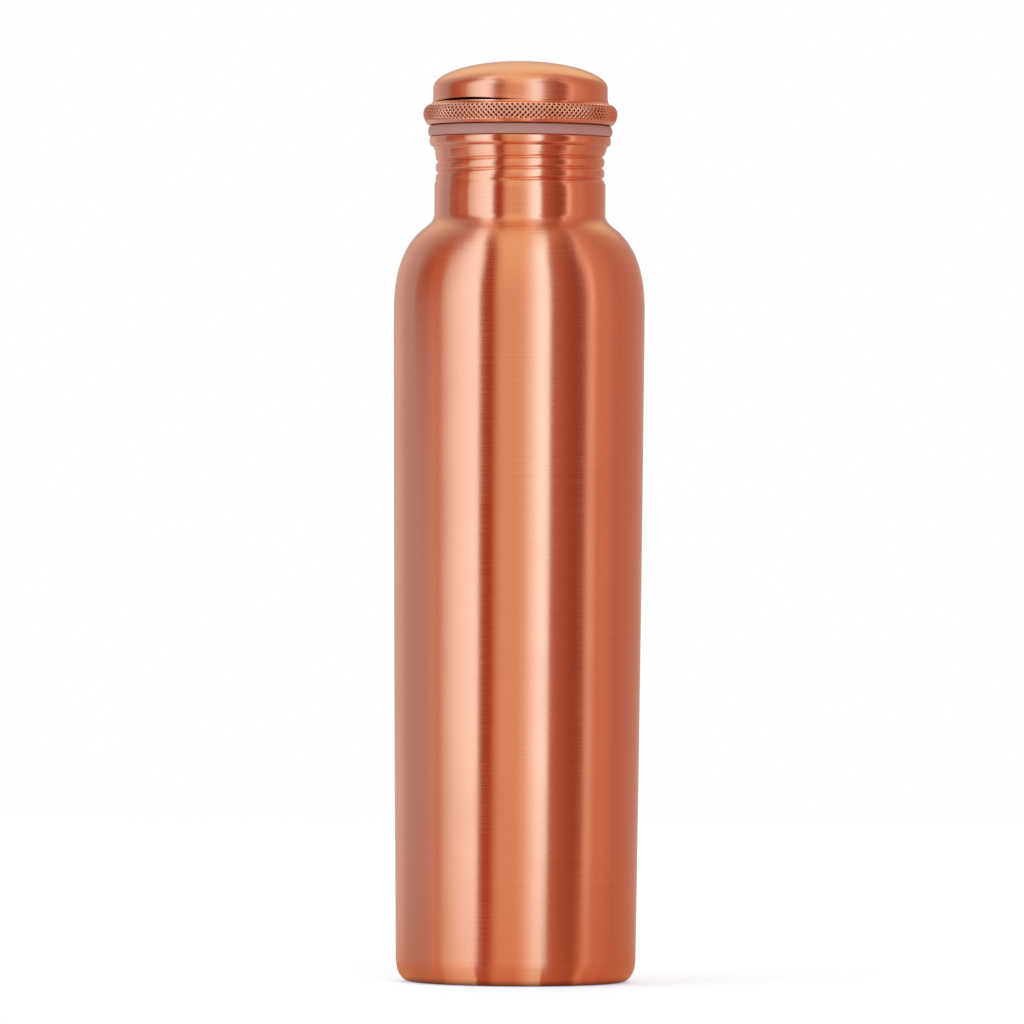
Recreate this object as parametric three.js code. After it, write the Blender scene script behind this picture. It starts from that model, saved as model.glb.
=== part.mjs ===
// Copper water bottle with a screw lid. Millimetres, +Z up, origin at the centre of the base.
//
// The bottle is one drawn copper shell with a thread rolled into its neck. The lid is a domed cover on a
// grip collar, with a male-threaded plug under it that screws into the neck, and a silicone gasket between
// the collar and the lip. Every piece is a section turned about the Z axis.
import * as THREE from 'three';

// Facets round each piece.
const segments = 36;

// Clearance between neighbouring solids, and the sheet thickness of each pressing.
const gap = 0.3;
const bodyWall = 0.5;
const plugWall = 0.5;
const lidWall = 0.6;

// Base: a flat contact ring round a shallow recess.
const contactRadius = 30.6;
const contactWidth = 2.2;
const recessHeight = 2;
const recessSlope = 3;

// Body wall: it widens slightly from foot to shoulder, a little fuller than a straight cone.
const footHeight = 7.5;
const footRadius = 35.2;
const footSquareness = 2.3;
const wallTopHeight = 195.3;
const wallTopRadius = 36.84;
const wallFullness = 0.15;
const wallRows = 4;

// Shoulder: a squared-off quarter ellipse, full at first and then turning in sharply to the neck.
const shoulderRun = 22.94;
const shoulderRise = 29.44;
const shoulderSquareness = 2.5;
const shoulderEndAngle = 57.5;

// Neck: a hollow fillet off the shoulder, a straight stretch, the rolled thread, and the lip curled outwards.
const neckRadius = 25.1;
const filletRun = 2.4;
const filletRise = 3.6;
const filletTop = 225.2;
const filletSweep = 75;
const neckTop = 233.9;
const lipRadius = 26.6;
const lipBottom = 245.2;
const lipTop = 247.8;
const lipRounding = 0.5;

// Thread: right-handed, wide rounded ridges with a narrow groove between them. The groove fades in and out
// over `threadFade` at the ends of the neck's threaded zone.
const threadPitch = 3.2;
const threadCrestRadius = 24.8;
const threadDepth = 0.7;
const threadBottom = 234.5;
const threadTop = 244.2;
const threadFade = 0.8;
const threadRowsPerTurn = 5;
const grooveStart = 234.7;

// Gasket between lip and collar.
const gasketBottom = lipTop + gap;
const gasketTop = 250.8;
const gasketInnerRadius = 24.5;
const gasketOuterRadius = 27.1;
const gasketRounding = 0.5;

// Collar: a pressed channel ring, open towards the inside. Its grip bulges out, and the dome sits on its seat.
const collarBottom = gasketTop + gap;
const collarBottomHole = 24.4;
const collarEdgeRadius = 26.3;
const gripRadius = 28.5;
const gripHeight = 254.5;
const gripTop = 257.1;
const seatRadius = 25.9;
const seatHeight = 257.5;
const seatHole = 21;

// Dome: a short upright skirt and a low elliptical crown.
const domeBottom = seatHeight + gap;
const domeRadius = 25.6;
const skirtTop = 262;
const domeTop = 270;

// Plug: a threaded tube that fits inside the neck with `gap` all round. Its flange is held in the collar.
const plugRadius = threadCrestRadius - bodyWall - gap;
const plugThreadDepth = 0.9;
const plugNoseRadius = 22.9;
const plugBottom = 234;
const plugThreadBottom = 235;
const plugHemWidth = 1.6;
const flangeBottom = collarBottom + lidWall + gap;
const flangeRadius = 26.2;

// Disc that closes the plug. It rests on the hem at the plug's nose.
const discRadius = plugNoseRadius - plugWall - gap;
const discBottom = plugBottom + plugWall + gap;
const discThickness = 0.6;

const materials = {
  brushedCopper: new THREE.MeshStandardMaterial({ color: 0xc8734f, roughness: 0.32, metalness: 1 }),
  satinCopper: new THREE.MeshStandardMaterial({ color: 0xd98a66, roughness: 0.28, metalness: 1 }),
  polishedCopper: new THREE.MeshStandardMaterial({ color: 0xdb8d6a, roughness: 0.24, metalness: 1 }),
  rolledCopper: new THREE.MeshStandardMaterial({ color: 0xbf6d4b, roughness: 0.34, metalness: 1 }),
  plainCopper: new THREE.MeshStandardMaterial({ color: 0xb96848, roughness: 0.38, metalness: 1 }),
  silicone: new THREE.MeshStandardMaterial({ color: 0xb9857a, roughness: 0.55, metalness: 0 }),
};

const point = (radius, height) => new THREE.Vector2(radius, height);

function smoothStep(edge0, edge1, value) {
  const t = THREE.MathUtils.clamp((value - edge0) / (edge1 - edge0), 0, 1);
  return t * t * (3 - 2 * t);
}

// Points on a squared-off ellipse between two angles in degrees. A squareness of 2 is a true ellipse.
function arc(centre, radii, startAngle, endAngle, steps, squareness = 2) {
  const power = 2 / squareness;
  return Array.from({ length: steps + 1 }, (_, i) => {
    const angle = THREE.MathUtils.degToRad(THREE.MathUtils.lerp(startAngle, endAngle, i / steps));
    const c = Math.cos(angle);
    const s = Math.sin(angle);
    return point(
      centre.x + radii.x * Math.sign(c) * Math.abs(c) ** power,
      centre.y + radii.y * Math.sign(s) * Math.abs(s) ** power,
    );
  });
}

// An upright stretch of wall with enough rows of vertices to carry the thread.
function threadedWall(radius, bottom, top) {
  const rows = Math.round(((top - bottom) / threadPitch) * threadRowsPerTurn);
  return Array.from({ length: rows + 1 }, (_, i) => point(radius, THREE.MathUtils.lerp(bottom, top, i / rows)));
}

// The same line moved by `wall` to the left of its direction of travel, for the inside of a sheet. Corners
// are mitred, so the sheet keeps its thickness. A point on the axis stays on the axis.
function inset(line, wall) {
  const legs = line.slice(1).map((end, i) => end.clone().sub(line[i]).normalize());
  return line.map((corner, i) => {
    const arriving = legs[i - 1] ?? legs[i];
    const leaving = legs[i] ?? arriving;
    const mitre = wall / (1 + arriving.dot(leaving));
    return point(
      corner.x === 0 ? 0 : corner.x - (arriving.y + leaving.y) * mitre,
      corner.y + (arriving.x + leaving.x) * mitre,
    );
  });
}

function closed(outline) {
  return [...outline, outline[0].clone()];
}

// How far a thread of unit depth is pressed in at a height and angle: 1 in the groove, 0 on the ridge.
function threadGroove(height, angle) {
  const turns = (height - grooveStart) / threadPitch - angle / (2 * Math.PI);
  return Math.cos(Math.PI * turns) ** 4;
}

// Turn an outline about Z and move its points inwards by press(height, angle, radius).
function lathe(outline, press = () => 0) {
  const geometry = new THREE.LatheGeometry(outline, segments).rotateX(Math.PI / 2);
  const position = geometry.getAttribute('position');
  for (let i = 0; i < position.count; i += 1) {
    const x = position.getX(i);
    const y = position.getY(i);
    const radius = Math.hypot(x, y);
    const depth = press(position.getZ(i), Math.atan2(x, -y), radius);
    if (depth > 0) {
      position.setXY(i, x * (1 - depth / radius), y * (1 - depth / radius));
    }
  }
  geometry.computeVertexNormals();
  return geometry;
}

function piece(name, geometry, material) {
  const mesh = new THREE.Mesh(geometry, material);
  mesh.name = name;
  return mesh;
}

function wallPoint(t) {
  const radius = THREE.MathUtils.lerp(footRadius, wallTopRadius, t) + wallFullness * 4 * t * (1 - t);
  return point(radius, THREE.MathUtils.lerp(footHeight, wallTopHeight, t));
}

function bodyShell() {
  const base = [
    point(0, recessHeight),
    point(contactRadius - contactWidth - recessSlope, recessHeight),
    point(contactRadius - contactWidth, 0),
  ];
  const footRadii = point(footRadius - contactRadius, footHeight);
  const foot = arc(point(contactRadius, footHeight), footRadii, -90, 0, 4, footSquareness);
  const wall = Array.from({ length: wallRows - 1 }, (_, i) => wallPoint((i + 1) / wallRows));
  const shoulderCentre = point(wallTopRadius - shoulderRun, wallTopHeight);
  const shoulderRadii = point(shoulderRun, shoulderRise);
  const shoulder = arc(shoulderCentre, shoulderRadii, 0, shoulderEndAngle, 8, shoulderSquareness);
  const filletCentre = point(neckRadius + filletRun, filletTop);
  const fillet = arc(filletCentre, point(filletRun, filletRise), filletSweep - 180, -180, 3);
  const thread = threadedWall(threadCrestRadius, threadBottom, threadTop);
  const outside = [...base, ...foot, ...wall, ...shoulder, ...fillet, point(neckRadius, neckTop), ...thread];

  const boreRadius = threadCrestRadius - bodyWall;
  const lip = [
    point(lipRadius - lipRounding, lipBottom - lipRounding),
    point(lipRadius, lipBottom),
    point(lipRadius, lipTop - lipRounding),
    point(lipRadius - lipRounding, lipTop),
    point(boreRadius + lipRounding, lipTop),
    point(boreRadius, lipTop - lipRounding),
  ];
  const inside = inset(outside, bodyWall).reverse();

  const press = (height, angle) => {
    const fadeIn = smoothStep(threadBottom, threadBottom + threadFade, height);
    const fadeOut = 1 - smoothStep(threadTop - threadFade, threadTop, height);
    return threadDepth * fadeIn * fadeOut * threadGroove(height, angle);
  };
  return piece('body_shell', lathe([...outside, ...lip, ...inside], press), materials.brushedCopper);
}

function gasket() {
  const outline = [
    point(gasketInnerRadius, gasketBottom),
    point(gasketOuterRadius - gasketRounding, gasketBottom),
    point(gasketOuterRadius, gasketBottom + gasketRounding),
    point(gasketOuterRadius, gasketTop - gasketRounding),
    point(gasketOuterRadius - gasketRounding, gasketTop),
    point(gasketInnerRadius, gasketTop),
  ];
  return piece('gasket', lathe(closed(outline)), materials.silicone);
}

function knurledCollar() {
  const gripCentre = point(collarEdgeRadius, gripHeight);
  const bulge = gripRadius - collarEdgeRadius;
  const outside = [
    point(collarBottomHole, collarBottom),
    ...arc(gripCentre, point(bulge, gripHeight - collarBottom), -90, 0, 4),
    ...arc(gripCentre, point(bulge, gripTop - gripHeight), 0, 90, 4).slice(1),
    point(seatRadius, seatHeight),
    point(seatHole, seatHeight),
  ];
  const inside = inset(outside, lidWall).reverse();
  return piece('knurled_collar', lathe(closed([...outside, ...inside])), materials.satinCopper);
}

function lidDome() {
  const crown = arc(point(0, skirtTop), point(domeRadius, domeTop - skirtTop), 0, 90, 7);
  crown.at(-1).x = 0;
  const outside = [point(domeRadius, domeBottom), ...crown];
  const inside = inset(outside, lidWall).reverse();
  return piece('lid_dome', lathe([...inside, ...outside]), materials.polishedCopper);
}

function threadedPlug() {
  const outside = [
    point(plugNoseRadius - plugHemWidth, plugBottom),
    point(plugNoseRadius, plugBottom),
    ...threadedWall(plugRadius, plugThreadBottom, threadTop),
    point(plugRadius, flangeBottom),
    point(flangeRadius, flangeBottom),
  ];
  const inside = inset(outside, plugWall).reverse();

  // The hem stays round; the thread starts above it.
  const press = (height, angle, radius) => {
    const fadeOut = 1 - smoothStep(threadTop - threadFade, threadTop, height);
    const onWall = radius > plugNoseRadius - plugWall ? 1 : 0;
    return plugThreadDepth * onWall * fadeOut * threadGroove(height, angle);
  };
  return piece('threaded_plug', lathe(closed([...outside, ...inside]), press), materials.rolledCopper);
}

function plugEndDisc() {
  const outline = [
    point(0, discBottom),
    point(discRadius, discBottom),
    point(discRadius, discBottom + discThickness),
    point(0, discBottom + discThickness),
  ];
  return piece('plug_end_disc', lathe(outline), materials.plainCopper);
}

const lid = new THREE.Group();
lid.add(lidDome(), knurledCollar(), threadedPlug(), plugEndDisc());

const bottle = new THREE.Group();
bottle.add(bodyShell(), gasket(), lid);

export default bottle;
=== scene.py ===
import math

import bpy
import numpy as np
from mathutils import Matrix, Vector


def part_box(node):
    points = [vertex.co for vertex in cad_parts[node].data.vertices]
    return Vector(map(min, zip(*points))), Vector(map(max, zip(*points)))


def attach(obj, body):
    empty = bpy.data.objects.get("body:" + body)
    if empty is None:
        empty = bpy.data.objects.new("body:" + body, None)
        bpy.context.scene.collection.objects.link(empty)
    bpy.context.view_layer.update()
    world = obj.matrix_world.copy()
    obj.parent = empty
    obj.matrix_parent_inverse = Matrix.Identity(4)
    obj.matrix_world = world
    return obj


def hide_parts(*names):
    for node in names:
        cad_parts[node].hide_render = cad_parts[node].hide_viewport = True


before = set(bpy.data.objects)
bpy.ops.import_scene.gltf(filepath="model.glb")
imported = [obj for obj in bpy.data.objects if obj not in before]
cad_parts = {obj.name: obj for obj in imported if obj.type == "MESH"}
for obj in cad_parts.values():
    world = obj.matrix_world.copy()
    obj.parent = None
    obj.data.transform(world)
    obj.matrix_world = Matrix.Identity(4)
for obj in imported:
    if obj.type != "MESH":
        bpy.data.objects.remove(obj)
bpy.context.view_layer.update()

# Copper water bottle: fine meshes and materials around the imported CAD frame. Sections are written in
# millimetres as (radius, height) and turned about the Z axis. Angles run from the front (-Y) towards +X.
MM = 0.001


def height_range(node):
    """Lowest and highest point of a CAD node, in millimetres."""
    low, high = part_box(node)
    return low.z / MM, high.z / MM


def outer_radius(node):
    """Greatest radius of a CAD node, in millimetres."""
    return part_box(node)[1].x / MM


# ---------------------------------------------------------------------------------------------------
# Dimensions. What the frame states is read from it. The others repeat the CAD's, or belong to details that
# only these fine meshes have, such as the knurl, the curl of the lip and the lifted edge of the dome.

LIP_TOP = height_range("body_shell")[1]
WALL_TOP_RADIUS = outer_radius("body_shell")
GASKET_TOP = height_range("gasket")[1]
GASKET_RADIUS = outer_radius("gasket")
COLLAR_BOTTOM = height_range("knurled_collar")[0]
SEAM_HEIGHT, DOME_TOP = height_range("lid_dome")
DOME_RADIUS = outer_radius("lid_dome")
PLUG_BOTTOM, FLANGE_TOP = height_range("threaded_plug")
FLANGE_RADIUS = outer_radius("threaded_plug")
DISC_BOTTOM, DISC_TOP = height_range("plug_end_disc")
DISC_RADIUS = outer_radius("plug_end_disc")

SHEET = 0.5
LID_SHEET = 0.6

RECESS_HEIGHT = 2.0
RECESS_RADIUS = 25.4
CONTACT_INNER_RADIUS = 28.4
CONTACT_OUTER_RADIUS = 30.6
FOOT_RADIUS = 35.2
FOOT_HEIGHT = 7.5
FOOT_SQUARENESS = 2.3
WALL_TOP = 195.3
WALL_FULLNESS = 0.15
SHOULDER_RUN = 22.94
SHOULDER_RISE = 29.44
SHOULDER_SQUARENESS = 2.5
SHOULDER_END_ANGLE = 57.5
NECK_RADIUS = 25.1
NECK_BOTTOM = 225.2
FILLET_FULLNESS = 0.78

THREAD_PITCH = 3.2
THREAD_RADIUS = 24.8
THREAD_BOTTOM = 234.5
THREAD_TOP = 244.2
GROOVE_START = 234.7
GROOVE_DEPTH = 0.55
GROOVE_WIDTH = 0.42
RIDGE_CROWN = 0.14
THREAD_EASE_IN = (-0.10, 0.02)      # turns from the start of the groove
THREAD_EASE_OUT = (2.45, 3.0)
THREAD_ONSET = (-0.4, 0.2)          # heights from the bottom of the thread
THREAD_RUNOUT = 0.8
LIP_BOTTOM = 244.85
LIP_RADIUS = 26.62
LIP_UNDERSIDE = 1.5
LIP_FACE = 0.2
LIP_CORNER = 0.7
NECK_TOP = LIP_BOTTOM - 0.35
FLARE = 0.7
FLARE_BOTTOM = 241.4
FLARE_TOP = LIP_BOTTOM + 0.6
BORE_RADIUS = THREAD_RADIUS - SHEET
WALL_WANDER = 0.012
WANDER_BOTTOM = (8, 30)             # heights over which it sets in, and over which it dies away
WANDER_TOP = (200, 222)
WANDER_WAVES = ((3, 21), (5, -13), (2, 37))     # lobes round the wall, rise over which they turn a radian

GASKET_HOLE = 24.5
GASKET_CLEARANCE = 0.02
GASKET_FOOT_INSET = 0.45
GASKET_BULGE = 0.04
GASKET_BULGE_HEIGHT = 1.4
GASKET_TOP_INSET = 0.4
GASKET_PINCH_INSET = 1.2
GASKET_PINCH_RISE = 0.1
GASKET_ROUNDING = 0.35

GRIP_RADIUS = 28.5
GRIP_HEIGHT = 254.5
GRIP_BELOW = (4.5, 4.6)             # radii of the ellipse below the widest height, and above it
GRIP_BELOW_END = -42
GRIP_ABOVE = (2.7, 2.85)
GRIP_ABOVE_END = 61
COLLAR_EDGE = 0.35
COLLAR_EDGE_REACH = 1.2
COLLAR_HOLE = 24.4
COLLAR_RIM_RADIUS = 25.95
COLLAR_RIM_DROP = 0.05
COLLAR_FILLET = (0.04, 0.62)        # outwards and down from the rim
COLLAR_FILLET_REACH = 0.7
COLLAR_SHELF_RADIUS = 25.0
GRIP_INSIDE_HALF = 1.2
SEAT_DROP = 0.3
SEAT_HOLE = 21.0
KNURL_COUNT = 112
KNURL_STEPS = 10
KNURL_BOTTOM = 252.3
KNURL_TOP = 256.65
KNURL_FADE = (0.1, 0.2)             # outside its band, and inside
KNURL_DEPTH = 0.5
KNURL_LAND = 1.12                   # over 1 leaves the ridges a flat top

SKIRT_TOP = 262.0
DOME_FLARE = 0.15
DOME_FLARE_TOP = SEAM_HEIGHT + 1.4
DOME_FOOT_EDGE = (0.02, 0.05)       # inwards and up
SEAM_LIFT = 0.8
SEAM_LIFT_TOP = SKIRT_TOP + 1
SEAM_LIFT_ANGLE = -38
SEAM_LIFT_SPAN = 46

PLUG_RADIUS = 24.0
PLUG_GROOVE_DEPTH = 0.85
PLUG_NOSE_RADIUS = 22.9
PLUG_THREAD_BOTTOM = 235.0
PLUG_HEM = 1.6
PLUG_NOSE_TOP = PLUG_THREAD_BOTTOM - 0.6
PLUG_TAPER_TOP = PLUG_THREAD_BOTTOM + 1.3
PLUG_THREAD_ONSET = 0.6
PLUG_GROOVE_SPREAD = 0.8


# ---------------------------------------------------------------------------------------------------
# Sections

def arc(centre, radii, start, end, steps, squareness=2.0):
    """Points on a squared-off ellipse between two angles in degrees; squareness 2 is a true ellipse."""
    angles = np.radians(np.linspace(start, end, steps + 1))
    power = 2 / squareness
    along = np.sign(np.cos(angles)) * np.abs(np.cos(angles)) ** power
    up = np.sign(np.sin(angles)) * np.abs(np.sin(angles)) ** power
    return np.column_stack((centre[0] + radii[0] * along, centre[1] + radii[1] * up))


def bezier(p0, p1, p2, p3, steps):
    t = np.linspace(0, 1, steps + 1)[:, None]
    p0, p1, p2, p3 = map(np.array, (p0, p1, p2, p3))
    return (1 - t) ** 3 * p0 + 3 * t * (1 - t) ** 2 * p1 + 3 * t * t * (1 - t) * p2 + t ** 3 * p3


def line(start, end, longest):
    """A straight stretch cut into legs no longer than `longest`."""
    legs = max(1, math.ceil(math.dist(start, end) / longest))
    t = np.linspace(0, 1, legs + 1)[:, None]
    return (1 - t) * np.array(start) + t * np.array(end)


def rounded(corners, rounding, steps=5):
    """A path through corners, each inner one rounded to the given distance along its legs."""
    corners = [np.array(c, float) for c in corners]
    points = [corners[0]]
    for before, corner, after in zip(corners, corners[1:], corners[2:]):
        into = (before - corner) / np.linalg.norm(before - corner)
        out = (after - corner) / np.linalg.norm(after - corner)
        start = corner + into * rounding
        end = corner + out * rounding
        pull = 0.55 * rounding
        points.extend(bezier(start, start - into * pull, end - out * pull, end, steps))
    points.append(corners[-1])
    return np.array(points)


def inset(section, wall):
    """The same path moved by `wall` to the left of its direction of travel."""
    legs = np.diff(section, axis=0)
    legs /= np.linalg.norm(legs, axis=1)[:, None]
    arriving = np.vstack((legs[:1], legs))
    leaving = np.vstack((legs, legs[-1:]))
    mitre = wall / (1 + (arriving * leaving).sum(axis=1))
    along = arriving + leaving
    moved = section + np.column_stack((-along[:, 1], along[:, 0])) * mitre[:, None]
    moved[section[:, 0] == 0, 0] = 0
    return moved


def joined(*parts):
    """One path from several, without the points that repeat where they meet."""
    path = np.vstack(parts)
    steps = np.linalg.norm(np.diff(path, axis=0), axis=1)
    return path[np.concatenate(([True], steps > 1e-4))]


def smooth_step(low, high, value):
    t = np.clip((value - low) / (high - low), 0, 1)
    return t * t * (3 - 2 * t)


# ---------------------------------------------------------------------------------------------------
# Meshes

def turned(name, section, segments, shape=None, ring=False):
    """A section turned about Z. shape(angle, radius, height) returns the moved radius and height, and for
    the knurl a share of painted shade for its pits. The path keeps the material on its left; a ring's
    section is closed."""
    section = np.array(section)
    start_pole = not ring and section[0, 0] < 1e-6
    end_pole = not ring and section[-1, 0] < 1e-6
    angle = np.linspace(0, 2 * math.pi, segments, endpoint=False)
    rows = section[int(start_pole):len(section) - int(end_pole)]
    angles = np.broadcast_to(angle, (len(rows), segments))
    radius = np.repeat(rows[:, :1], segments, axis=1)
    height = np.repeat(rows[:, 1:], segments, axis=1)
    pit_shade = None
    if shape:
        radius, height, *pit_shade = shape(angles, radius, height)
    points = np.stack((radius * np.sin(angles), -radius * np.cos(angles), height), axis=-1).reshape(-1, 3)

    index = np.arange(len(rows) * segments).reshape(len(rows), segments)
    if ring:
        index = np.vstack((index, index[:1]))
    beside = np.roll(index, -1, axis=1)
    quads = np.stack((index[:-1], beside[:-1], beside[1:], index[1:]), axis=-1).reshape(-1, 4)
    faces = quads.tolist()
    if start_pole:
        pole = len(points)
        points = np.vstack((points, (0, 0, section[0, 1])))
        faces.extend((pole, b, a) for a, b in zip(index[0].tolist(), beside[0].tolist()))
    if end_pole:
        pole = len(points)
        points = np.vstack((points, (0, 0, section[-1, 1])))
        faces.extend((a, b, pole) for a, b in zip(index[-1].tolist(), beside[-1].tolist()))

    mesh = bpy.data.meshes.new(name)
    mesh.from_pydata((points * MM).tolist(), [], faces)
    mesh.shade_smooth()
    if pit_shade:
        mesh.attributes.new("pit_shade", "FLOAT", "POINT").data.foreach_set("value", pit_shade[0].ravel())
    piece = bpy.data.objects.new(name, mesh)
    bpy.context.scene.collection.objects.link(piece)
    return piece


def thread(angle, height):
    """Distance to the nearest groove of the rolled thread, and the number of turns from its start."""
    turns = (height - GROOVE_START) / THREAD_PITCH
    start = angle / (2 * math.pi)
    start = np.where(start > 0.5, start - 1, start)
    groove = np.round(turns - start)
    return (turns - start - groove) * THREAD_PITCH, groove + start


def groove_profile(distance):
    """Depth share across a thread: a narrow groove between wide ridges."""
    return np.exp(-(distance / GROOVE_WIDTH) ** 2)


def thread_fade(turns):
    """The groove eases in just left of the front, and out again under the lip."""
    return smooth_step(*THREAD_EASE_IN, turns) * (1 - smooth_step(*THREAD_EASE_OUT, turns))


def wall_radius(height):
    t = (height - FOOT_HEIGHT) / (WALL_TOP - FOOT_HEIGHT)
    return FOOT_RADIUS + (WALL_TOP_RADIUS - FOOT_RADIUS) * t + WALL_FULLNESS * 4 * t * (1 - t)


def body_outside():
    recess_end = (RECESS_RADIUS, RECESS_HEIGHT)
    contact_start = (CONTACT_INNER_RADIUS, 0)
    middle = (RECESS_RADIUS + CONTACT_INNER_RADIUS) / 2
    recess = joined(line((0, RECESS_HEIGHT), recess_end, 4.0),
                    bezier(recess_end, (middle, RECESS_HEIGHT), (middle, 0), contact_start, 12))
    contact = line(contact_start, (CONTACT_OUTER_RADIUS, 0), 1.2)
    foot = arc((CONTACT_OUTER_RADIUS, FOOT_HEIGHT), (FOOT_RADIUS - CONTACT_OUTER_RADIUS, FOOT_HEIGHT),
               -90, 0, 20, FOOT_SQUARENESS)
    wall_heights = np.linspace(FOOT_HEIGHT, WALL_TOP, 48)
    wall = np.column_stack((wall_radius(wall_heights), wall_heights))
    shoulder = arc((WALL_TOP_RADIUS - SHOULDER_RUN, WALL_TOP), (SHOULDER_RUN, SHOULDER_RISE),
                   0, SHOULDER_END_ANGLE, 34, SHOULDER_SQUARENESS)

    leaving = shoulder[-1] - shoulder[-2]
    corner = shoulder[-1] + leaving * (NECK_RADIUS - shoulder[-1, 0]) / leaving[0]
    neck_start = np.array((NECK_RADIUS, NECK_BOTTOM))
    fillet = bezier(shoulder[-1], shoulder[-1] + (corner - shoulder[-1]) * FILLET_FULLNESS,
                    neck_start + (corner - neck_start) * FILLET_FULLNESS, neck_start, 14)
    neck = line(neck_start, (NECK_RADIUS, THREAD_BOTTOM - 0.6), 2.5)
    threaded = line((THREAD_RADIUS, THREAD_BOTTOM), (THREAD_RADIUS, NECK_TOP), 0.13)
    return joined(recess, contact, foot, wall, shoulder, fillet, neck, threaded)


def body_lip():
    """The hem rolled outwards, from its full lower corner over the top into the bore."""
    under = THREAD_RADIUS + FLARE
    widest = LIP_BOTTOM + LIP_UNDERSIDE
    below = arc((under, widest), (LIP_RADIUS - under, LIP_UNDERSIDE), -90, 0, 10)
    above = rounded(((LIP_RADIUS, widest + LIP_FACE), (LIP_RADIUS, LIP_TOP), (BORE_RADIUS, LIP_TOP),
                     (BORE_RADIUS, LIP_BOTTOM)), LIP_CORNER, 7)
    return joined(below, above)


def body_shell():
    outside = body_outside()
    inside_wall = inset(outside, SHEET)[::-1]
    section = joined(outside, body_lip(), inside_wall)

    def shape(angle, radius, height):
        """The thread is pressed in and the neck flared, both below the lip, which has its shape already."""
        distance, turns = thread(angle, height)
        onset = smooth_step(THREAD_BOTTOM + THREAD_ONSET[0], THREAD_BOTTOM + THREAD_ONSET[1], height)
        fade = thread_fade(turns) * onset * (1 - smooth_step(NECK_TOP - THREAD_RUNOUT, NECK_TOP, height))
        crown = RIDGE_CROWN * (1 - (2 * np.abs(distance) / THREAD_PITCH) ** 2)
        press = fade * (GROOVE_DEPTH * groove_profile(distance) + crown)
        outer_face = radius > BORE_RADIUS + SHEET / 2
        flare = FLARE * smooth_step(FLARE_BOTTOM, FLARE_TOP, height) * outer_face
        radius = radius + np.where(height <= NECK_TOP + 1e-6, flare - press, 0)
        # Hand-finished sheet is never quite true: the wall wanders by about two hundredths of a millimetre.
        on_wall = smooth_step(*WANDER_BOTTOM, height) * (1 - smooth_step(*WANDER_TOP, height))
        wander = sum(np.sin(lobes * angle + height / rise) for lobes, rise in WANDER_WAVES)
        return radius - WALL_WANDER * on_wall * (1 + wander / len(WANDER_WAVES)), height

    return turned("body_shell_sheet", section, segments=208, shape=shape)


def gasket():
    """A ring with a bulged side, its inner part risen into the gap under the collar."""
    seated = LIP_TOP + GASKET_CLEARANCE
    pinched = (GASKET_TOP + COLLAR_BOTTOM) / 2 + GASKET_PINCH_RISE
    section = rounded(((GASKET_HOLE, seated), (GASKET_RADIUS - GASKET_FOOT_INSET, seated),
                       (GASKET_RADIUS + GASKET_BULGE, seated + GASKET_BULGE_HEIGHT),
                       (GASKET_RADIUS - GASKET_TOP_INSET, GASKET_TOP),
                       (GASKET_RADIUS - GASKET_PINCH_INSET, pinched), (GASKET_HOLE, pinched)),
                      GASKET_ROUNDING, 6)
    return turned("gasket_ring_seal", section, segments=256, ring=True)


def triangle_wave(value):
    return 1 - np.abs(2 * (value - np.floor(value)) - 1)


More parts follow.
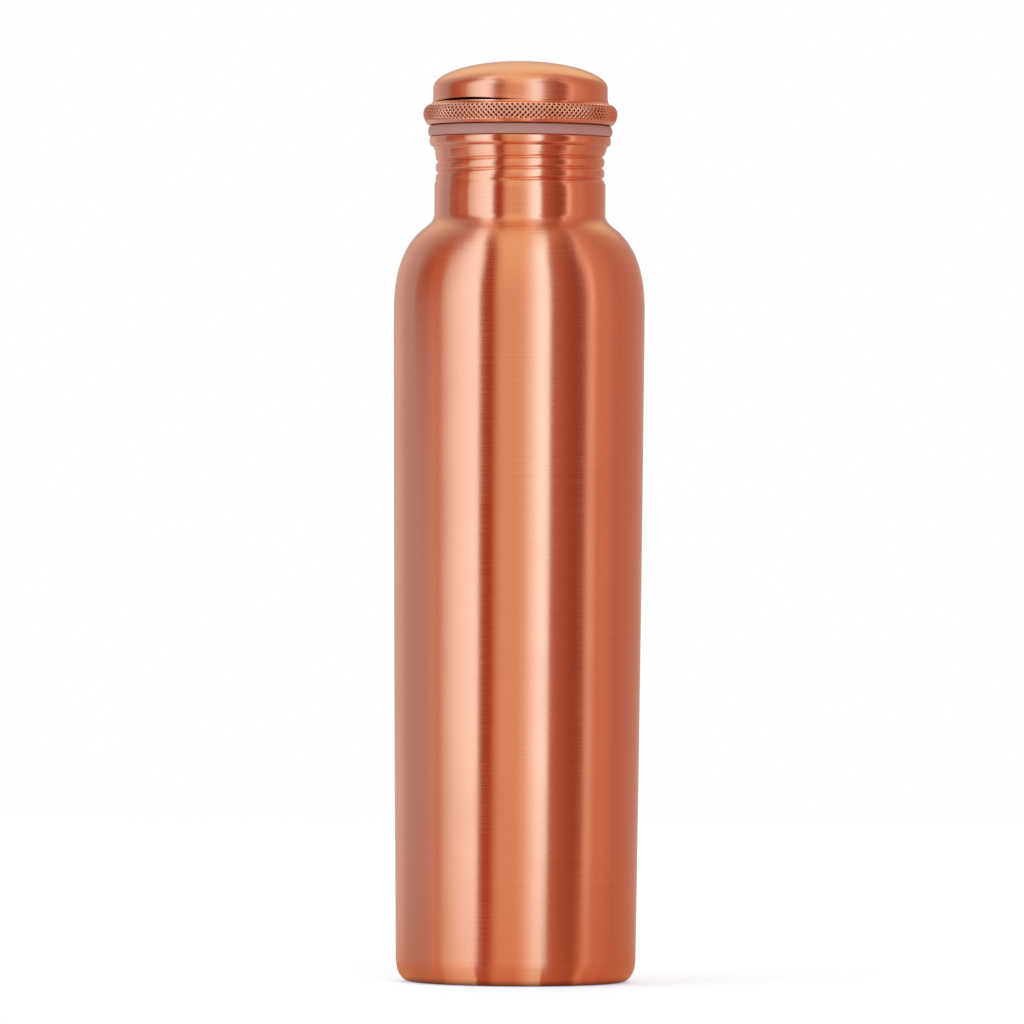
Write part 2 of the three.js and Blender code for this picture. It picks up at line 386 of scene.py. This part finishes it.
def collar():
    """A pressed ring: flat underside, knurled grip, the rim and seat for the dome, and the inside."""
    lower = arc((GRIP_RADIUS - GRIP_BELOW[0], GRIP_HEIGHT), GRIP_BELOW, GRIP_BELOW_END, 0, 20)
    upper = arc((GRIP_RADIUS - GRIP_ABOVE[0], GRIP_HEIGHT), GRIP_ABOVE, 0, GRIP_ABOVE_END, 20)[1:]
    edge = lower[0, 0] - COLLAR_EDGE
    edge_start = (edge - COLLAR_EDGE, COLLAR_BOTTOM)
    before_grip = lower[0] - (lower[1] - lower[0]) * COLLAR_EDGE_REACH
    bottom = joined(line((COLLAR_HOLE, COLLAR_BOTTOM), edge_start, 1.2),
                    bezier(edge_start, (edge, COLLAR_BOTTOM), before_grip, lower[0], 6))
    leaving = (upper[-1] - upper[-2]) / np.linalg.norm(upper[-1] - upper[-2])
    rim = np.array((COLLAR_RIM_RADIUS, SEAM_HEIGHT - COLLAR_RIM_DROP))
    into_rim = rim + np.array((COLLAR_FILLET[0], -COLLAR_FILLET[1]))
    fillet = bezier(upper[-1], upper[-1] + leaving * COLLAR_FILLET_REACH, into_rim, rim, 8)
    outside = joined(bottom, lower, upper, fillet)

    seat_radius = DOME_RADIUS - LID_SHEET
    seat_height = rim[1] - SEAT_DROP
    seat = joined(line(rim, (seat_radius, rim[1]), 0.4),
                  line((seat_radius, seat_height), (SEAT_HOLE, seat_height), 2.0))
    under_seat = seat_height - LID_SHEET
    above_floor = COLLAR_BOTTOM + LID_SHEET
    grip_inside = GRIP_RADIUS - LID_SHEET - KNURL_DEPTH
    shelf = (COLLAR_SHELF_RADIUS, under_seat)
    inside_top = (grip_inside, GRIP_HEIGHT + GRIP_INSIDE_HALF)
    inside_bottom = (grip_inside, GRIP_HEIGHT - GRIP_INSIDE_HALF)
    floor_edge = (edge - LID_SHEET, above_floor)
    inner = joined(line((SEAT_HOLE, under_seat), shelf, 2.0), line(shelf, inside_top, 1.5),
                   line(inside_top, inside_bottom, 1.5), line(inside_bottom, floor_edge, 1.5),
                   line(floor_edge, (COLLAR_HOLE, above_floor), 1.5))
    section = joined(outside, seat, inner)
    pitch = 2 * math.pi * GRIP_RADIUS / KNURL_COUNT
    outside_rows = len(outside)

    def shape(angle, radius, height):
        """Two sets of crossing ridges, with a four-sided pit in each mesh of the net."""
        across = angle * KNURL_COUNT / (2 * math.pi)
        upward = (height - KNURL_BOTTOM) / pitch
        ridge = np.maximum(triangle_wave(across + upward), triangle_wave(across - upward))
        ridge = np.minimum(ridge * KNURL_LAND, 1)
        beyond, within = KNURL_FADE
        zone = smooth_step(KNURL_BOTTOM - beyond, KNURL_BOTTOM + within, height)
        zone = zone * (1 - smooth_step(KNURL_TOP - within, KNURL_TOP + beyond, height))
        zone[outside_rows:] = 0
        # The third value is the share of painted shade in the pits.
        return radius - zone * KNURL_DEPTH * (1 - ridge), height, zone * (1 - ridge)

    segments = KNURL_COUNT * KNURL_STEPS
    piece = turned("knurled_collar_ring", section, segments, shape, ring=True)
    piece.data.set_sharp_from_angle(angle=math.radians(40))
    return piece


def dome():
    crown = arc((0, SKIRT_TOP), (DOME_RADIUS, DOME_TOP - SKIRT_TOP), 0, 90, 48)
    crown[-1, 0] = 0
    foot = (DOME_RADIUS - DOME_FOOT_EDGE[0], SEAM_HEIGHT)
    skirt = line((DOME_RADIUS, SEAM_HEIGHT + DOME_FOOT_EDGE[1]), (DOME_RADIUS, SKIRT_TOP), 0.4)
    outside = joined(np.array([foot]), skirt, crown)
    inner_radius = DOME_RADIUS - LID_SHEET
    inner_crown = arc((0, SKIRT_TOP), (inner_radius, DOME_TOP - SKIRT_TOP - LID_SHEET), 90, 0, 24)
    inner_crown[0, 0] = 0
    inner = joined(inner_crown, line((inner_radius, SKIRT_TOP), (inner_radius, SEAM_HEIGHT), 0.8))

    def shape(angle, radius, height):
        """The skirt stands off the collar over a part of the round, and flares a little at its foot."""
        degrees = np.degrees(angle)
        away = np.abs((degrees - SEAM_LIFT_ANGLE + 180) % 360 - 180) / SEAM_LIFT_SPAN
        lift = SEAM_LIFT * np.cos(np.clip(away, 0, 1) * math.pi / 2) ** 2
        share = 1 - smooth_step(SEAM_HEIGHT, SEAM_LIFT_TOP, height)
        flare = DOME_FLARE * (1 - smooth_step(SEAM_HEIGHT, DOME_FLARE_TOP, height))
        return radius + flare, height + lift * share

    return turned("lid_dome_cover", joined(inner, outside), segments=320, shape=shape)


def plug():
    """A cup whose end tapers below its thread, so that it runs clear of the thread in the neck."""
    wall_top = FLANGE_TOP - SHEET
    hem = rounded(((PLUG_NOSE_RADIUS - PLUG_HEM, PLUG_BOTTOM), (PLUG_NOSE_RADIUS, PLUG_BOTTOM),
                   (PLUG_NOSE_RADIUS, PLUG_NOSE_TOP)), 0.3, 4)
    nose_top = (PLUG_NOSE_RADIUS, PLUG_THREAD_BOTTOM)
    taper_top = (PLUG_RADIUS, PLUG_TAPER_TOP)
    thread_top = (PLUG_RADIUS, THREAD_TOP)
    under_flange = (PLUG_RADIUS, wall_top)
    outside = joined(hem, line(hem[-1], nose_top, 0.3), line(nose_top, taper_top, 0.16),
                     line(taper_top, thread_top, 0.16), line(thread_top, under_flange, 1.5),
                     line(under_flange, (FLANGE_RADIUS, wall_top), 1.0))
    section = joined(outside, inset(outside, SHEET)[::-1])

    def shape(angle, radius, height):
        """The thread, which goes through the sheet down to the nose."""
        distance, _ = thread(angle, height)
        fade = smooth_step(PLUG_THREAD_BOTTOM, PLUG_THREAD_BOTTOM + PLUG_THREAD_ONSET, height)
        fade = fade * smooth_step(PLUG_THREAD_BOTTOM, PLUG_TAPER_TOP, height)
        fade = fade * (1 - smooth_step(THREAD_TOP - THREAD_RUNOUT, THREAD_TOP, height))
        above_nose = radius > PLUG_NOSE_RADIUS - SHEET
        cut = above_nose * fade * PLUG_GROOVE_DEPTH * groove_profile(distance * PLUG_GROOVE_SPREAD)
        return radius - cut, height

    return turned("threaded_plug_sleeve", section, segments=224, shape=shape, ring=True)


def end_disc():
    middle = 2.0
    edge = rounded(((middle, DISC_BOTTOM), (DISC_RADIUS, DISC_BOTTOM), (DISC_RADIUS, DISC_TOP),
                    (middle, DISC_TOP)), 0.2, 3)
    section = joined(np.array([(0, DISC_BOTTOM)]), edge, np.array([(0, DISC_TOP)]))
    return turned("plug_end_disc_cap", section, segments=128)


# ---------------------------------------------------------------------------------------------------
# Materials

class Nodes:
    """A short way to write a node tree. Inputs are given by name, or as i0, i1 and so on by number."""

    def __init__(self, tree, keep=False):
        self.tree = tree
        if not keep:
            tree.nodes.clear()

    def add(self, kind, settings=None, **inputs):
        node = self.tree.nodes.new(kind)
        for name, value in (settings or {}).items():
            setattr(node, name, value)
        for name, value in inputs.items():
            key = int(name[1:]) if name[1:].isdigit() else name.replace("_", " ")
            socket = node.inputs[key]
            if isinstance(value, bpy.types.NodeSocket):
                self.tree.links.new(value, socket)
            else:
                socket.default_value = value
        return node

    def math(self, operation, a, b=0.0):
        return self.add("ShaderNodeMath", {"operation": operation}, i0=a, i1=b).outputs[0]

    def vector(self, operation, a, b):
        return self.add("ShaderNodeVectorMath", {"operation": operation}, i0=a, i1=b).outputs[0]

    def scale(self, value, factor):
        return self.add("ShaderNodeVectorMath", {"operation": "SCALE"}, i0=value, Scale=factor).outputs[0]

    def range(self, value, low, high, to_low=0.0, to_high=1.0, kind="SMOOTHSTEP"):
        return self.add("ShaderNodeMapRange", {"interpolation_type": kind}, Value=value, From_Min=low,
                        From_Max=high, To_Min=to_low, To_Max=to_high).outputs[0]

    def mix(self, factor, a, b):
        return self.add("ShaderNodeMix", {"data_type": "RGBA"}, i0=factor, i6=a, i7=b).outputs[2]


def colour(red, green, blue):
    return (red, green, blue, 1.0)


COPPER = colour(0.92, 0.375, 0.233)
OLD_COPPER = colour(0.80, 0.29, 0.17)
WORN_COPPER = colour(0.93, 0.43, 0.29)
# Painted shade: the dark tone laid into the pits of the knurl.
PIT_SHADE = colour(0.17, 0.035, 0.016)
SILICONE_DARK = colour(0.465, 0.205, 0.165)
SILICONE_LIGHT = colour(0.515, 0.25, 0.205)
STREAK_ALONG = 60                   # changes of tone per metre along a brushing line, and across the lines
STREAK_ACROSS = 3000
STREAK_SPAN = (0.3, 0.7)            # the part of the noise that is spread over the full range
STREAK_ROUGHNESS = 0.03
PATINA_SPAN = (0.5, 0.75)
PATINA_SHARE = 0.12
PATINA_ROUGH_SPAN = (0.3, 0.8)
PATINA_ROUGHNESS = 0.04
PIT_SHADE_DEPTH = (0.12, 0.6)         # shares of the knurl's depth where it starts, and where it is full
PIT_SHADE_SHARE = 0.95
BUMP_HEIGHT = 0.1 * MM


def turning_streaks(nodes):
    """Noise drawn out round the axis: fine lines along every turned surface, upright or flat."""
    place = nodes.add("ShaderNodeTexCoord").outputs["Object"]
    stretch = nodes.vector("MULTIPLY", place, (STREAK_ALONG, STREAK_ALONG, STREAK_ACROSS))
    parts = nodes.add("ShaderNodeSeparateXYZ", i0=place).outputs
    radius = nodes.math("SQRT", nodes.math("ADD", nodes.math("MULTIPLY", parts[0], parts[0]),
                                           nodes.math("MULTIPLY", parts[1], parts[1])))
    noise = nodes.add("ShaderNodeTexNoise", {"noise_dimensions": "4D"}, Vector=stretch,
                      W=nodes.math("MULTIPLY", radius, STREAK_ACROSS), Scale=1.0, Detail=3.0, Roughness=0.6)
    return noise.outputs[0]


def brushed_metal(name, roughness, anisotropic, streak=0.05, relief=0.06, base=COPPER):
    material = bpy.data.materials.new(name)
    material.use_nodes = True
    nodes = Nodes(material.node_tree)
    lines = turning_streaks(nodes)
    place = nodes.add("ShaderNodeTexCoord").outputs["Object"]
    patina = nodes.add("ShaderNodeTexNoise", Vector=place, Scale=38.0, Detail=4.0, Roughness=0.55).outputs[0]
    tint = nodes.mix(nodes.range(patina, *PATINA_SPAN, 0.0, PATINA_SHARE), base, OLD_COPPER)
    tint = nodes.scale(tint, nodes.range(lines, *STREAK_SPAN, 1 - streak, 1 + streak, "LINEAR"))
    uneven = nodes.range(lines, *STREAK_SPAN, -STREAK_ROUGHNESS, STREAK_ROUGHNESS, "LINEAR")
    dull = nodes.range(patina, *PATINA_ROUGH_SPAN, roughness, roughness + PATINA_ROUGHNESS)
    rough = nodes.math("ADD", uneven, dull)
    bump = nodes.add("ShaderNodeBump", Strength=relief, Distance=BUMP_HEIGHT, Height=lines).outputs[0]
    tangent = nodes.add("ShaderNodeTangent", {"direction_type": "RADIAL", "axis": "Z"}).outputs[0]
    shader = nodes.add("ShaderNodeBsdfPrincipled", Base_Color=tint, Metallic=1.0, Roughness=rough,
                       Anisotropic=anisotropic, Anisotropic_Rotation=0.25, Tangent=tangent, Normal=bump)
    nodes.add("ShaderNodeOutputMaterial", Surface=shader.outputs[0])
    return material


def knurled_metal(name):
    """Brushed copper with painted shade, a dark tone, laid into the pits of the knurl."""
    material = brushed_metal(name, roughness=0.17, anisotropic=0.0, streak=0.03, relief=0.03,
                             base=WORN_COPPER)
    tree = material.node_tree
    shader = next(node for node in tree.nodes if node.type == "BSDF_PRINCIPLED")
    metal = shader.inputs["Base Color"].links[0].from_socket
    nodes = Nodes(tree, keep=True)
    # Painted shade in the pits of the knurl, deeper pits darker.
    depth = nodes.add("ShaderNodeAttribute", {"attribute_name": "pit_shade"}).outputs["Fac"]
    dark = nodes.mix(nodes.range(depth, *PIT_SHADE_DEPTH, 0.0, PIT_SHADE_SHARE), metal, PIT_SHADE)
    tree.links.new(dark, shader.inputs["Base Color"])
    return material


def silicone():
    material = bpy.data.materials.new("silicone")
    material.use_nodes = True
    nodes = Nodes(material.node_tree)
    place = nodes.add("ShaderNodeTexCoord").outputs["Object"]
    cloud = nodes.add("ShaderNodeTexNoise", Vector=place, Scale=160.0, Detail=3.0).outputs[0]
    tint = nodes.mix(cloud, SILICONE_DARK, SILICONE_LIGHT)
    bump = nodes.add("ShaderNodeBump", Strength=0.1, Distance=BUMP_HEIGHT, Height=cloud).outputs[0]
    shader = nodes.add("ShaderNodeBsdfPrincipled", Base_Color=tint, Roughness=0.45, Normal=bump)
    nodes.add("ShaderNodeOutputMaterial", Surface=shader.outputs[0])
    return material


def floor_paper():
    material = bpy.data.materials.new("floor_paper")
    material.use_nodes = True
    nodes = Nodes(material.node_tree)
    shader = nodes.add("ShaderNodeBsdfPrincipled", Base_Color=colour(0.9, 0.9, 0.9), Roughness=1.0,
                       Specular_IOR_Level=0.0, Emission_Color=colour(0.70, 0.82, 1.0), Emission_Strength=0.5)
    nodes.add("ShaderNodeOutputMaterial", Surface=shader.outputs[0])
    return material


# ---------------------------------------------------------------------------------------------------
# Studio. The camera sees a white room and a pale floor. The copper mirrors a surround of its own: tones by
# azimuth, 0 on the camera's side and positive to its right, set to match the bands in the photo.
# They are coloured, so the copper looks paler and more even in a plain neutral room. Angles are in degrees
# and distances in metres.

SOFTBOX_EDGE = (1.16, 1.72, 2.08)
SOFTBOX_FALLOFF = (1.08, 1.46, 1.70)
STRIP_BRIGHT = (1.20, 1.96, 2.40)
STRIP_SOFT = (1.08, 1.36, 1.58)
HAZE = (0.88, 1.04, 1.05)
CREAM = (0.84, 0.70, 0.64)
PEACH = (0.76, 0.61, 0.475)
APRICOT = (0.87, 0.78, 0.66)
CLAY = (0.65, 0.39, 0.30)
RUST = (0.53, 0.28, 0.22)
RUST_EDGE = (0.49, 0.26, 0.175)
EMBER = (0.40, 0.155, 0.10)
FLAG = (0.365, 0.07, 0.015)
NIGHT = (0.29, 0.10, 0.065)
MAUVE = (0.66, 0.57, 0.56)
PLUM = (0.55, 0.46, 0.50)
SLATE = (0.48, 0.50, 0.58)
GREY = (0.68, 0.64, 0.61)
WARM_GREY = (0.56, 0.45, 0.39)
CEILING = (0.95, 1.00, 0.68)
GROUND = (0.64, 0.31, 0.20)
LEAN = 0.36
LEAN_RISE = (0.62, 0.95)            # sines of elevation

GLOW_AZIMUTH = -6                   # the middle of a warm patch overhead in front
GLOW_HALF_WIDTH = (10, 22)
GLOW_SHARE = 0.6
GLOW_RISE = (-1, 34)                # elevations where it sets in, and where it is full
UPPER_RISE = (5, 60)                # the same for the gain of the upper light
UPPER_GAIN = 1.04
CEILING_BACK = (130, 155)           # azimuths between which the ceiling comes down lower
CEILING_START = (62, 14)            # elevation where it sets in, in front and at the back
CEILING_FULL = (80, 32)
GROUND_FALL = (-38, -58)            # elevations where the ground sets in, and where it is full
FLOOR_HALF = 1.5
FLOOR_LEVEL = -0.1 * MM

WALLS = (
    (-180, WARM_GREY), (-145, GREY), (-124, SLATE), (-108, SLATE), (-98, PLUM), (-84, MAUVE), (-80.5, CLAY),
    (-78, MAUVE), (-71, HAZE), (-58, SOFTBOX_FALLOFF), (-44, SOFTBOX_EDGE), (-38, SOFTBOX_EDGE),
    (-37, RUST_EDGE), (-33, FLAG), (-25.5, FLAG), (-21, CLAY), (-17, PEACH), (0, PEACH), (6, APRICOT),
    (13, STRIP_SOFT), (20, STRIP_BRIGHT), (28.5, STRIP_BRIGHT), (30, RUST), (45, EMBER), (56, NIGHT),
    (63, NIGHT), (69, CREAM), (74, CREAM), (78, CLAY), (92, CLAY), (104, RUST), (180, WARM_GREY),
)

# The painted ground reflection near the foot shows the same lights as the walls, warmer, dimmer and slid a
# little to the left.
GROUND_TINT = (0.90, 0.65, 0.42)
GROUND_PLAIN_SHARE = 0.45
GROUND_SLIDE = 4
GROUND_LEVEL = -0.05 * MM
GROUND_REACH = 0.3
GROUND_CLEAR = (0.12, 0.24)
GROUND_LIT = (0.86, 1.02)           # shares of the foot's radius
GROUND_PAINTED_SHADE = 0.06

CARD_DISTANCE = 0.2
CARD_BOTTOM = 0.2
CARD_TOP = 0.6
CARD_FACES = 8
CARDS = (
    ("dark_card", -104, -86, (0.42, 0.14, 0.07)),
    ("dim_card", -86, -70.5, (0.53, 0.22, 0.12)),
    ("bright_card", 64.5, 67.5, (1.25, 1.05, 0.98)),
)


def tone_ramp(nodes, degrees, tones):
    """Colours by angle, from -180 to 180 degrees; the first and last tones use the ramp's own two stops."""
    ramp = nodes.add("ShaderNodeValToRGB", Fac=nodes.math("ADD", nodes.math("DIVIDE", degrees, 360.0), 0.5))
    stops = ramp.color_ramp.elements
    ends = {-180: 0, 180: -1}
    for place, tone in tones:
        position = place / 360 + 0.5
        stop = stops[ends[place]] if place in ends else stops.new(position)
        stop.position = position
        stop.color = colour(*tone)
    return ramp.outputs[0]


def studio():
    world = bpy.data.worlds.new("studio")
    world.use_nodes = True
    bpy.context.scene.world = world
    nodes = Nodes(world.node_tree)
    direction = nodes.add("ShaderNodeTexCoord").outputs["Generated"]
    parts = nodes.add("ShaderNodeSeparateXYZ", i0=direction).outputs
    # The lights lean over the bottle, so their edges meet behind the zenith, not at it.
    lean = nodes.range(parts[2], *LEAN_RISE, 0.0, LEAN)
    azimuth = nodes.math("ARCTAN2", parts[0], nodes.math("SUBTRACT", lean, parts[1]))
    walls = tone_ramp(nodes, nodes.math("DEGREES", azimuth), WALLS)
    elevation = nodes.math("DEGREES", nodes.math("ARCSINE", parts[2]))
    behind = nodes.math("ABSOLUTE", azimuth)
    beside = nodes.math("ABSOLUTE", nodes.math("SUBTRACT", azimuth, math.radians(GLOW_AZIMUTH)))
    ahead = nodes.range(beside, *map(math.radians, GLOW_HALF_WIDTH), GLOW_SHARE, 0.0)
    glow = nodes.math("MULTIPLY", ahead, nodes.range(elevation, *GLOW_RISE))
    room = nodes.mix(glow, walls, colour(*CEILING))
    room = nodes.scale(room, nodes.range(elevation, *UPPER_RISE, 1.0, UPPER_GAIN))
    back = tuple(map(math.radians, CEILING_BACK))
    low = nodes.range(behind, *back, *CEILING_START)
    high = nodes.range(behind, *back, *CEILING_FULL)
    room = nodes.mix(nodes.range(elevation, low, high), room, colour(*CEILING))
    start, full = GROUND_FALL
    room = nodes.mix(nodes.range(elevation, full, start, 1.0, 0.0), room, colour(*GROUND))
    seen = nodes.add("ShaderNodeLightPath").outputs["Is Camera Ray"]
    light = nodes.mix(seen, room, colour(1, 1, 1))
    background = nodes.add("ShaderNodeBackground", Color=light, Strength=1.0)
    nodes.add("ShaderNodeOutputWorld", Surface=background.outputs[0])


def square(half, level):
    return [(-half, -half, level), (half, -half, level), (half, half, level), (-half, half, level)]


def floor():
    mesh = bpy.data.meshes.new("floor")
    mesh.from_pydata(square(FLOOR_HALF, 0), [], [(0, 1, 2, 3)])
    plane = bpy.data.objects.new("floor", mesh)
    plane.location.z = FLOOR_LEVEL
    plane.visible_glossy = False
    plane.data.materials.append(floor_paper())
    bpy.context.scene.collection.objects.link(plane)


def staged_light(name, points, faces, shade):
    """A glowing sheet that only reflections see. shade(nodes) gives its colour and its clear share."""
    mesh = bpy.data.meshes.new(name)
    mesh.from_pydata(points, [], faces)
    sheet = bpy.data.objects.new(name, mesh)
    sheet.visible_camera = False
    sheet.visible_diffuse = False
    sheet.visible_shadow = False
    sheet.visible_transmission = False
    material = bpy.data.materials.new(name)
    material.use_nodes = True
    nodes = Nodes(material.node_tree)
    tone, clear = shade(nodes)
    glow = nodes.add("ShaderNodeEmission", Color=tone).outputs[0]
    nothing = nodes.add("ShaderNodeBsdfTransparent").outputs[0]
    shown = nodes.add("ShaderNodeMixShader", i0=clear, i1=glow, i2=nothing).outputs[0]
    nodes.add("ShaderNodeOutputMaterial", Surface=shown)
    mesh.materials.append(material)
    bpy.context.scene.collection.objects.link(sheet)


def painted_ground_reflection():
    """A painted reflection: a glowing sheet that the foot mirrors in place of the ground, with the walls'
    lights along it, painted shade under the foot, and clear further off.
    """
    foot = FOOT_RADIUS * MM

    def shade(nodes):
        place = nodes.add("ShaderNodeTexCoord").outputs["Object"]
        parts = nodes.add("ShaderNodeSeparateXYZ", i0=place).outputs
        flat = nodes.add("ShaderNodeCombineXYZ", i0=parts[0], i1=parts[1]).outputs[0]
        away = nodes.add("ShaderNodeVectorMath", {"operation": "LENGTH"}, i0=flat).outputs[1]
        angle = nodes.math("ARCTAN2", parts[0], nodes.math("MULTIPLY", parts[1], -1.0))
        # A ray mirrored by the foot leaves at twice the angle of its spot on the foot. So the ground shows
        # the walls' tones of twice its own angle close to the foot, and of its own angle far off.
        near = nodes.math("MINIMUM", nodes.math("DIVIDE", foot, away), 1.0)
        turn = nodes.math("DIVIDE", 2.0, nodes.math("SUBTRACT", 2.0, near))
        azimuth = nodes.math("DEGREES", nodes.math("MULTIPLY", angle, turn))
        walls = tone_ramp(nodes, nodes.math("ADD", azimuth, GROUND_SLIDE), WALLS)
        walls = nodes.vector("MULTIPLY", walls, GROUND_TINT)
        tone = nodes.mix(GROUND_PLAIN_SHARE, walls, colour(*GROUND))
        start, full = (foot * share for share in GROUND_LIT)
        # Painted shade: the sheet grows dark close under the foot.
        lit = nodes.range(away, start, full, GROUND_PAINTED_SHADE, 1.0)
        return nodes.scale(tone, lit), nodes.range(away, *GROUND_CLEAR)

    staged_light("painted_ground_reflection", square(GROUND_REACH, GROUND_LEVEL), [(0, 1, 2, 3)], shade)


def card(name, start, end, tone):
    """An upright card beside the bottle between two angles, level with the shoulder and above it."""
    angles = np.radians(np.linspace(start, end, CARD_FACES + 1))
    edge = [(CARD_DISTANCE * math.sin(a), -CARD_DISTANCE * math.cos(a)) for a in angles]
    points = [(x, y, z) for z in (CARD_BOTTOM, CARD_TOP) for x, y in edge]
    above = len(edge)
    faces = [(i, i + 1, i + 1 + above, i + above) for i in range(CARD_FACES)]
    staged_light(name, points, faces, lambda nodes: (colour(*tone), 0.0))


def camera():
    data = bpy.data.cameras.new("camera")
    data.sensor_width = 36
    data.lens = 338.9
    data.clip_end = 20
    view = bpy.data.objects.new("camera", data)
    view.location = (-0.0018, -2.829, 0.1377)
    # The bottle in the photograph leans a little, and the camera is rolled by as much instead.
    roll = math.radians(-0.326)
    view.rotation_euler = (math.radians(90), roll, 0)
    bpy.context.scene.collection.objects.link(view)
    bpy.context.scene.camera = view


# ---------------------------------------------------------------------------------------------------
# Assembly

def place(piece, material, node, body, slot):
    piece.data.materials.append(material)
    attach(piece, body)
    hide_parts(node)


bpy.context.scene.view_settings.view_transform = "Standard"
camera()
studio()
floor()
painted_ground_reflection()
for name, start, end, tone in CARDS:
    card(name, start, end, tone)
place(body_shell(), brushed_metal("brushed_copper", roughness=0.24, anisotropic=1.0),
      "body_shell", "bottle", "brushed_copper")
place(gasket(), silicone(), "gasket", "gasket_ring", "silicone")
place(dome(), brushed_metal("polished_copper", roughness=0.27, anisotropic=0.4, streak=0.03, relief=0.03),
      "lid_dome", "lid", "polished_copper")
place(collar(), knurled_metal("knurled_copper"), "knurled_collar", "lid", "knurled_copper")
place(plug(), brushed_metal("rolled_copper", roughness=0.28, anisotropic=0.6),
      "threaded_plug", "lid", "rolled_copper")
place(end_disc(), brushed_metal("plain_copper", roughness=0.32, anisotropic=0.7),
      "plug_end_disc", "lid", "plain_copper")
